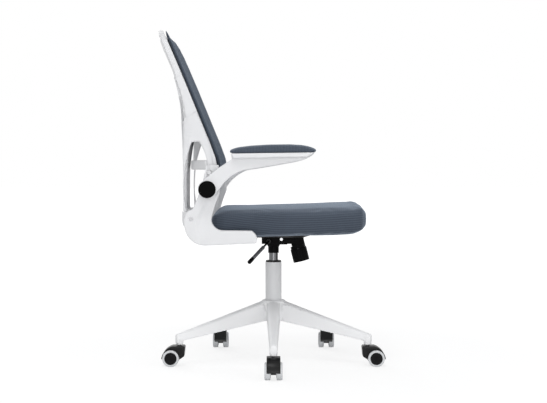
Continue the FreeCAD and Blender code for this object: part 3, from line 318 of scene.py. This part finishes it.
def remeshed(piece, voxel):
    pick(piece)
    piece.data.remesh_voxel_size = voxel
    piece.data.remesh_voxel_adaptivity = 0
    bpy.ops.object.voxel_remesh()


def smoothed(piece, rounds):
    applied(piece, "SMOOTH", factor=0.5, iterations=rounds)


def eased(value, low, high):  # 0 at low, 1 at high, smooth between
    share = min(1.0, max(0.0, (value - low) / (high - low)))
    return share * share * (3 - 2 * share)


def lineAt(points, height):  # the x of a line drawn through (z, x) points
    for (lowZ, lowX), (highZ, highX) in zip(points, points[1:]):
        if height <= highZ:
            return lowX + (highX - lowX) * max(0.0, height - lowZ) / (highZ - lowZ)
    return points[-1][1]


def bothSides(node, name, **values):  # a table's rows for a right and a left piece
    return {node + "_" + side.lower(): {"name": name + side, **values} for side in ("Right", "Left")}


bodyOfNode = {node: body for body, names in frame["record"]["behaviour"]["bodies"].items() for node in names}


def stands(piece, node, finish):  # the piece shows in the node's place
    dress(piece, finish)
    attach(piece, bodyOfNode[node])
    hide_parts(node)
    return piece


castors = range(1, 6)

# CAD nodes that show as they are
plainNodes = {
    "tube": ["column_tube"],
    "black": ["column_bush", "lever_bush"],
    "mechanism": ["tilt_carrier", "seat_pan"],
    "grey": ["lever_grip"],
    "steel": ["column_piston", "column_rod", "tension_bolt"] + ["castor_pins_%d" % number for number in castors],
    "zinc": ["tilt_pin", "seat_bolts", "back_screws"],
}
for finish, names in plainNodes.items():
    for node in names:
        dress(nodes[node], finish)
print("plain nodes dressed")


# Turned, pressed and small moulded pieces: copies of the nodes with their edges broken
edged = {
    **bothSides("arm_pin", "pivotCap", finish="cap", rounding=0.0012),
    "tilt_box": {"name": "tiltBoxPressing", "finish": "mechanism", "rounding": 0.001},
    "tension_knob": {"name": "tensionKnob", "finish": "mechanism", "rounding": 0.002},
    "lever_rod": {"name": "leverRod", "finish": "mechanism", "rounding": 0.0008},
}
for number in castors:
    edged["castor_hood_%d" % number] = {"name": "castorHood%d" % number, "finish": "black", "rounding": 0.0016}
    for side in "ab":
        tag = "%d%s" % (number, side)
        edged["castor_hub_" + tag] = {"name": "castorHub" + tag, "finish": "hub", "rounding": 0.0006}
        edged["castor_tyre_" + tag] = {"name": "castorTyre" + tag, "finish": "tyre", "rounding": 0.0006}
edging = {"flat": math.radians(0.6), "bevelFrom": math.radians(34), "smoothTo": math.radians(40), "segments": 3}


def edgedPiece(node, values):
    piece = copyOfNode(node, values["name"])
    bpy.ops.object.mode_set(mode="EDIT")
    bpy.ops.mesh.select_all(action="SELECT")
    bpy.ops.mesh.dissolve_limited(angle_limit=edging["flat"])
    bpy.ops.object.mode_set(mode="OBJECT")
    applied(piece, "BEVEL", width=values["rounding"], segments=edging["segments"], limit_method="ANGLE",
            angle_limit=edging["bevelFrom"], harden_normals=False, use_clamp_overlap=True)
    pick(piece)
    bpy.ops.object.shade_smooth_by_angle(angle=edging["smoothTo"])
    stands(piece, node, values["finish"])


for node, values in edged.items():
    edgedPiece(node, values)
print("edged pieces made:", len(edged))


# The tension spring shortens under the carrier's arm as the seat tilts; here it is a copy of its node with a mesh of
# its own
spring = {"node": "tension_spring", "name": "tensionSpring", "lean": math.radians(14), "travel": 0.02}


def springPiece():
    piece = copyOfNode(spring["node"], spring["name"])
    stands(piece, spring["node"], "steel")
    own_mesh(piece)


springPiece()


# Large white mouldings: the nodes with their edges rolled as a mould rolls them
rolled = {
    "base_star": {"name": "starMoulding", "finish": "nylonWithPaintedLight", "voxel": 0.0026, "smooth": 12},
    **bothSides("bracket", "bracketMoulding", finish="white", voxel=0.0022, smooth=12),
    **bothSides("arm", "armMoulding", finish="white", voxel=0.0022, smooth=10),
    "back_frame": {"name": "backRingMoulding", "finish": "white", "voxel": 0.0026, "smooth": 8},
    "rear_spine": {"name": "spineMoulding", "finish": "white", "voxel": 0.0026, "smooth": 26},
    "lumbar_bar": {"name": "lumbarBarMoulding", "finish": "white", "voxel": 0.0025, "smooth": 8},
}


def rolledPiece(node, values):
    piece = copyOfNode(node, values["name"])
    remeshed(piece, values["voxel"])
    smoothed(piece, values["smooth"])
    pick(piece)
    bpy.ops.object.shade_smooth()
    return stands(piece, node, values["finish"])


# The bracket's face is scooped below the arm's boss, ahead of a soft crease
scoop = {
    "crease": [(0.385, -0.223), (0.4175, -0.226), (0.45, -0.2229), (0.474, -0.2129), (0.5043, -0.1946)],
    "edge": 0.014, "foot": 0.0015, "depth": 0.007, "deepen": (0.39, 0.485), "fade": (-0.175, -0.12),
    "skin": (0.002, 0.016),
}


def scooped(piece, node):
    low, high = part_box(node)
    outer = max(abs(low[1]), abs(high[1]))
    side = 1 if high[1] > 0 else -1
    for vertex in piece.data.vertices:
        x, y, z = vertex.co
        inset = outer - side * y
        depth = scoop["foot"] + (scoop["depth"] - scoop["foot"]) * eased(z, *scoop["deepen"])
        ahead = eased(x - lineAt(scoop["crease"], z), 0, scoop["edge"])
        depth *= ahead * (1 - eased(x, *scoop["fade"]))
        vertex.co.y -= side * depth * (1 - eased(inset, *scoop["skin"]))


# The ring's side runs back behind the fin's seam to meet the spine in one sweep
shell = {
    "rear": [(0.56, -0.263), (0.625, -0.2628), (0.672, -0.261), (0.735, -0.261), (0.779, -0.265),
             (0.824, -0.276), (0.877, -0.295)],
    "seam": [(0.56, -0.259), (0.625, -0.2507), (0.66, -0.246), (0.697, -0.2415), (0.735, -0.232),
             (0.767, -0.2207)],
    "low": (0.58, 0.63), "high": (0.84, 0.9), "inside": 0.195, "bin": 0.005, "nearBins": 2.1,
    "band": 0.008, "widen": 0.014, "widenAt": (0.69, 0.76),
    "step": 0.0016, "stepOver": (0, 0.003), "turn": 0.006, "turnOver": (0.008, 0.034),
    "side": (0.2, 0.222), "seamFade": (0.715, 0.767),
}


def rearEdge(piece):  # the rearmost x of the ring's sides at each level
    rear = {}
    for vertex in piece.data.vertices:
        x, y, z = vertex.co
        if abs(y) > shell["inside"]:
            level = round(z / shell["bin"])
            rear[level] = min(x, rear.get(level, 0.0))
    return rear


def drawnBack(piece):
    rear = rearEdge(piece)
    for vertex in piece.data.vertices:
        x, y, z = vertex.co
        if abs(y) < shell["inside"] or not shell["low"][0] < z < shell["high"][1]:
            continue
        near = sorted((level * shell["bin"], edge) for level, edge in rear.items()
                      if abs(level - z / shell["bin"]) < shell["nearBins"])
        edge = lineAt(near, z)
        share = eased(z, *shell["low"]) * (1 - eased(z, *shell["high"]))
        reach = max(0.0, edge - lineAt(shell["rear"], z)) * share
        band = shell["band"] + shell["widen"] * eased(z, *shell["widenAt"])
        vertex.co.x -= reach * (1 - eased(x, edge, edge + band))
        behind = lineAt(shell["seam"], z) - vertex.co.x
        inward = shell["step"] * eased(behind, *shell["stepOver"]) + shell["turn"] * eased(behind, *shell["turnOver"])
        inward *= share * eased(abs(y), *shell["side"]) * (1 - eased(z, *shell["seamFade"]))
        vertex.co.y -= math.copysign(inward, y)


# The crossbeam's ends sweep forward to the brackets
crossbeam = {"below": 0.56, "sweep": (0.09, 0.2), "reach": 0.011}


def sweptForward(piece):
    for vertex in piece.data.vertices:
        if vertex.co.z < crossbeam["below"]:
            vertex.co.x += crossbeam["reach"] * eased(abs(vertex.co.y), *crossbeam["sweep"])


mouldings = {node: rolledPiece(node, values) for node, values in rolled.items()}
drawnBack(mouldings["back_frame"])
sweptForward(mouldings["rear_spine"])
for node in ("bracket_right", "bracket_left"):
    scooped(mouldings[node], node)
print("rolled mouldings made:", len(mouldings))


# Padded pieces: blown up by cloth from a slightly smaller copy of the node
padding = {
    "seat_cushion": {"name": "seatCushion", "finish": "seat", "voxel": 0.006, "shrink": 0.002, "smooth": 6,
                     "pressure": 4.0, "cap": 0.007, "fill": 0.75, "divide": 1},
    "back_mesh": {"name": "backPanel", "finish": "panel", "voxel": 0.004, "shrink": 0.0022, "smooth": 5,
                  "pressure": 3.0, "cap": 0.0015, "fill": 0.55, "divide": 0},
    **bothSides("arm_pad", "armPad", finish="pad", voxel=0.004, shrink=0.0015, smooth=5,
                pressure=4.0, cap=0.002, fill=0.8, divide=1),
}
cover = {"frames": 20, "quality": 4, "mass": 0.3, "stretch": 12, "bend": 0.6, "lastSmooth": 2}


def blown(piece, values):
    start = [vertex.co.copy() for vertex in piece.data.vertices]
    cloth = piece.modifiers.new("cloth", "CLOTH")
    cloth.settings.quality = cover["quality"]
    cloth.settings.mass = cover["mass"]
    cloth.settings.tension_stiffness = cover["stretch"]
    cloth.settings.compression_stiffness = cover["stretch"]
    cloth.settings.bending_stiffness = cover["bend"]
    cloth.settings.use_pressure = True
    cloth.settings.uniform_pressure_force = values["pressure"]
    cloth.settings.effector_weights.gravity = 0
    cloth.point_cache.frame_start = 1
    cloth.point_cache.frame_end = cover["frames"]
    for step in range(1, cover["frames"] + 1):
        bpy.context.scene.frame_set(step)
    pick(piece)
    bpy.ops.object.modifier_apply(modifier=cloth.name)
    bpy.context.scene.frame_set(1)
    for vertex, home in zip(piece.data.vertices, start):
        move = vertex.co - home
        if move.length > values["cap"]:
            vertex.co = home + move.normalized() * values["cap"]


def paddedPiece(node, values):
    piece = copyOfNode(node, values["name"])
    remeshed(piece, values["voxel"])
    applied(piece, "DISPLACE", strength=-values["shrink"], mid_level=0.0, direction="NORMAL")
    smoothed(piece, values["smooth"])
    blown(piece, values)
    smoothed(piece, cover["lastSmooth"])
    if values["divide"]:
        applied(piece, "SUBSURF", levels=values["divide"], render_levels=values["divide"])
    pick(piece)
    bpy.ops.object.shade_smooth()
    stands(piece, node, values["finish"])
    return piece


cushions = {node: paddedPiece(node, values) for node, values in padding.items()}
print("padded pieces made:", len(cushions))


# The seat's nose fills its front corners and rounds evenly from top to bottom. Its heel rises a little at the rear,
# its belly drops towards the front, and its top falls to a fuller brow above the nose.
nose = {"span": (0.19, 0.262), "spread": 0.075, "reach": 0.009, "swell": 0.14, "middle": 0.4475, "blend": 0.036}
heel = {"span": (0.06, 0.17), "rise": 0.004}
belly = {"span": (0.02, 0.2), "drop": 0.003}
brow = {"span": (0.225, 0.262), "swell": 0.15, "fall": 0.0055, "fallSpan": (-0.12, 0.17)}


def fuller(piece):
    middle = nose["middle"]
    for vertex in piece.data.vertices:
        share = eased(vertex.co.x, *nose["span"])
        vertex.co.y *= 1 + nose["spread"] * share
        vertex.co.z += (vertex.co.z - middle) * nose["swell"] * share
        vertex.co.x += nose["reach"] * share
        x, z = vertex.co.x, vertex.co.z
        upper = eased(z, middle, middle + nose["blend"])
        lower = eased(-z, -middle, nose["blend"] - middle)
        corner = eased(x, *brow["span"])
        rise = heel["rise"] * eased(-x, *heel["span"])
        rise += (z - middle) * brow["swell"] * corner
        rise -= brow["fall"] * eased(x, *brow["fallSpan"]) * (1 - corner)
        vertex.co.z += rise * upper - belly["drop"] * eased(x, *belly["span"]) * lower


fuller(cushions["seat_cushion"])

# The knit panel stands a little ahead of the ring's lip, and the arm pads fill their trays from end to end
panelLead = 0.0032
padStretch = 1.02
for vertex in cushions["back_mesh"].data.vertices:
    vertex.co.x += panelLead
for node in ("arm_pad_right", "arm_pad_left"):
    low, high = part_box(node)
    middle = (low[0] + high[0]) / 2
    for vertex in cushions[node].data.vertices:
        vertex.co.x = middle + (vertex.co.x - middle) * padStretch

# Marks for the weaves: 1 on the seat's top, painted lighter, and 0 on its sides; 1 where the panel turns in to the
# ring, for painted shade
marks = {
    "topFacing": {"node": "seat_cushion", "facing": (0, 0, 1), "span": (0.1, 0.95)},
    "rimShade": {"node": "back_mesh", "facing": (-1, 0, 0), "span": (0.05, 0.6)},
}


def marked(name, values):
    mesh = cushions[values["node"]].data
    mark = mesh.attributes.new(name, "FLOAT", "POINT")
    facing = Vector(values["facing"])
    for vertex in mesh.vertices:
        mark.data[vertex.index].value = eased(vertex.normal.dot(facing), *values["span"])


for name, values in marks.items():
    marked(name, values)
print("padded pieces fitted and marked:", len(marks))


# Floor, light and camera
studio = {"floorSize": 60, "floorTone": 0.9, "floorGloss": 0.9, "glow": 0.66, "glowStrength": 1.16,
          "clear": (0.7, 1.9), "sky": 0.5, "skyColour": (0.97, 0.98, 1, 1), "white": (1, 1, 1, 1)}


def makeFloor():
    clearSelection()
    bpy.ops.mesh.primitive_plane_add(size=studio["floorSize"], location=(0, 0, 0))
    floor = bpy.context.object
    floor.name = "floor"
    tone = (studio["floorTone"],) * 3 + (1,)
    finish = Finish("floorSweep", Base_Color=tone, Roughness=studio["floorGloss"], Specular_IOR_Level=0.0)
    away = finish.node("ShaderNodeVectorMath", {"operation": "LENGTH"}, {0: finish.place()}, out="Value")
    clear = away.between(*studio["clear"])
    share = finish.seenDirectly() * (studio["glow"] + (1 - studio["glow"]) * clear)
    lit = Wired(finish, finish.shader.outputs[0])
    glow = finish.node("ShaderNodeEmission", sockets={"Color": studio["white"], "Strength": studio["glowStrength"]})
    mixed = finish.node("ShaderNodeMixShader", sockets={0: share, 1: lit, 2: glow})
    finish.plug(finish.tree.nodes["Material Output"].inputs["Surface"], mixed)
    floor.data.materials.append(finish.material)


def makeSky():
    world = bpy.data.worlds.new("studio")
    bpy.context.scene.world = world
    world.use_nodes = True
    sky = Graph(world.node_tree)
    soft = sky.node("ShaderNodeBackground", sockets={"Color": studio["skyColour"], "Strength": studio["sky"]})
    white = sky.node("ShaderNodeBackground", sockets={"Color": studio["white"], "Strength": 1.0})
    mixed = sky.node("ShaderNodeMixShader", sockets={0: sky.seenDirectly(), 1: soft, 2: white})
    sky.plug(sky.tree.nodes["World Output"].inputs["Surface"], mixed)


lamps = {
    "keyLight": {"place": (-0.4, -2.0, 3.3), "aim": (0, 0, 0.5), "size": 1.1, "power": 24},
    "frontLight": {"place": (-0.5, -3.9, 0.8), "aim": (0, 0, 0.25), "size": 2.8, "power": 28},
    "lowLight": {"place": (0.3, -2.6, 0.35), "aim": (0, 0, 0.12), "size": 1.2, "power": 8},
    "fillLight": {"place": (2.6, -2.4, 1.8), "aim": (0, 0, 0.5), "size": 2.4, "power": 17},
    "rearLight": {"place": (-1.5, 2.8, 2.2), "aim": (0, 0, 0.5), "size": 2.4, "power": 26},
}


def makeLamp(name, values):
    clearSelection()
    bpy.ops.object.light_add(type="AREA", location=values["place"])
    lamp = bpy.context.object
    lamp.name = name
    lamp.data.shape = "DISK"
    lamp.data.size = values["size"]
    lamp.data.energy = values["power"]
    aim = Vector(values["aim"]) - Vector(values["place"])
    lamp.rotation_euler = aim.to_track_quat("-Z", "Y").to_euler()


# The photograph is 547 by 403 pixels; its horizon and focal length are in pixels of that frame
view = {"width": 547, "height": 403, "focal": 1136, "horizon": 168, "distance": 3.5, "eye": 0.596, "sensor": 36,
        "clipEnd": 100}


def makeCamera():
    clearSelection()
    tilt = math.atan((view["height"] / 2 - view["horizon"]) / view["focal"])
    bpy.ops.object.camera_add(location=(0, -view["distance"], view["eye"]), rotation=(math.pi / 2 - tilt, 0, 0))
    camera = bpy.context.object
    camera.name = "camera"
    camera.data.sensor_width = view["sensor"]
    camera.data.lens = view["focal"] / view["width"] * view["sensor"]
    camera.data.dof.use_dof = False
    camera.data.clip_end = view["clipEnd"]
    bpy.context.scene.camera = camera


makeFloor()
makeSky()
for name, values in lamps.items():
    makeLamp(name, values)
makeCamera()
bpy.context.scene.view_settings.view_transform = "Standard"
print("studio set")
